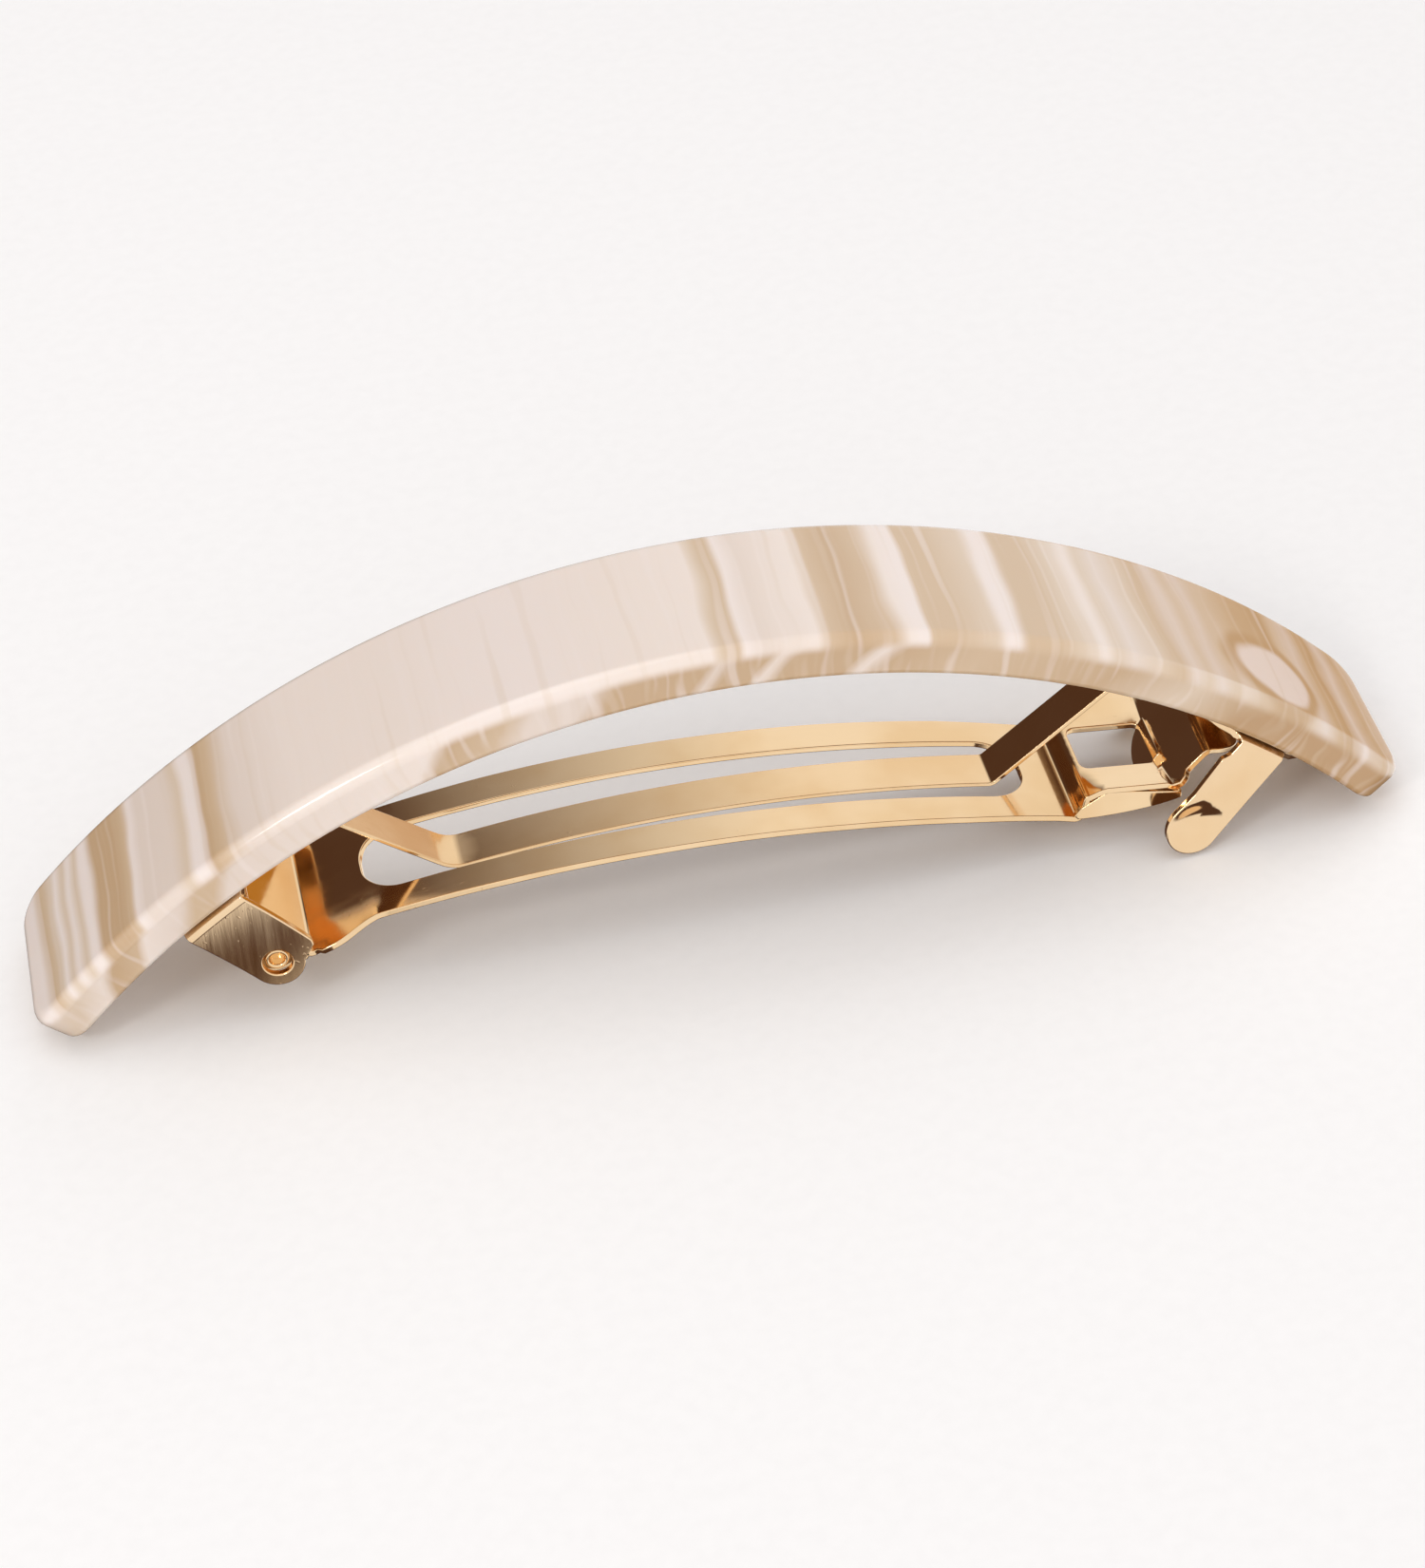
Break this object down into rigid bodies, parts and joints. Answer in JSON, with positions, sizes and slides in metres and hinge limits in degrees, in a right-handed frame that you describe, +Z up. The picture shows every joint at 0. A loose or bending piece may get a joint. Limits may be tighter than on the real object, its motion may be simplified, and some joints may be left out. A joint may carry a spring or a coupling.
{
  "type": "hair barrette",
  "caption": "Arched hair barrette: a marbled acetate bar on a gold sprung clasp whose hinged arm snaps between two prongs to hold a lock of hair.",
  "frame": {"origin": "on the plane that the prong tips rest on, under the middle of the bar", "axes": "+Z up towards the crown of the arch, +X along the bar from the hinge to the catch, +Y across the bar"},
  "size_m": [0.0898, 0.0144, 0.0225],
  "materials": {
    "marbled_acetate": "polished, cream with tan and pearl streaks",
    "cement": "cured clear cement",
    "gold_plate": "polished pale gold plating on steel",
    "gold_spring": "polished pale gold plating on spring steel",
    "gold_arm": "polished pale gold plating on steel"
  },
  "bodies": {
    "bar_and_plate": {"acetate_bar": "marbled_acetate", "bond_film": "cement", "base_plate": "gold_plate", "leaf_spring": "gold_spring"},
    "arm": {"clasp_arm": "gold_arm"}
  },
  "joints": [
    {"name": "arm_hinge", "type": "hinge", "parent": "bar_and_plate", "child": "arm", "pos_m": [-0.02905, 0, 0.0045], "axis": [0, 1, 0], "range_deg": [0, 110]}
  ]
}
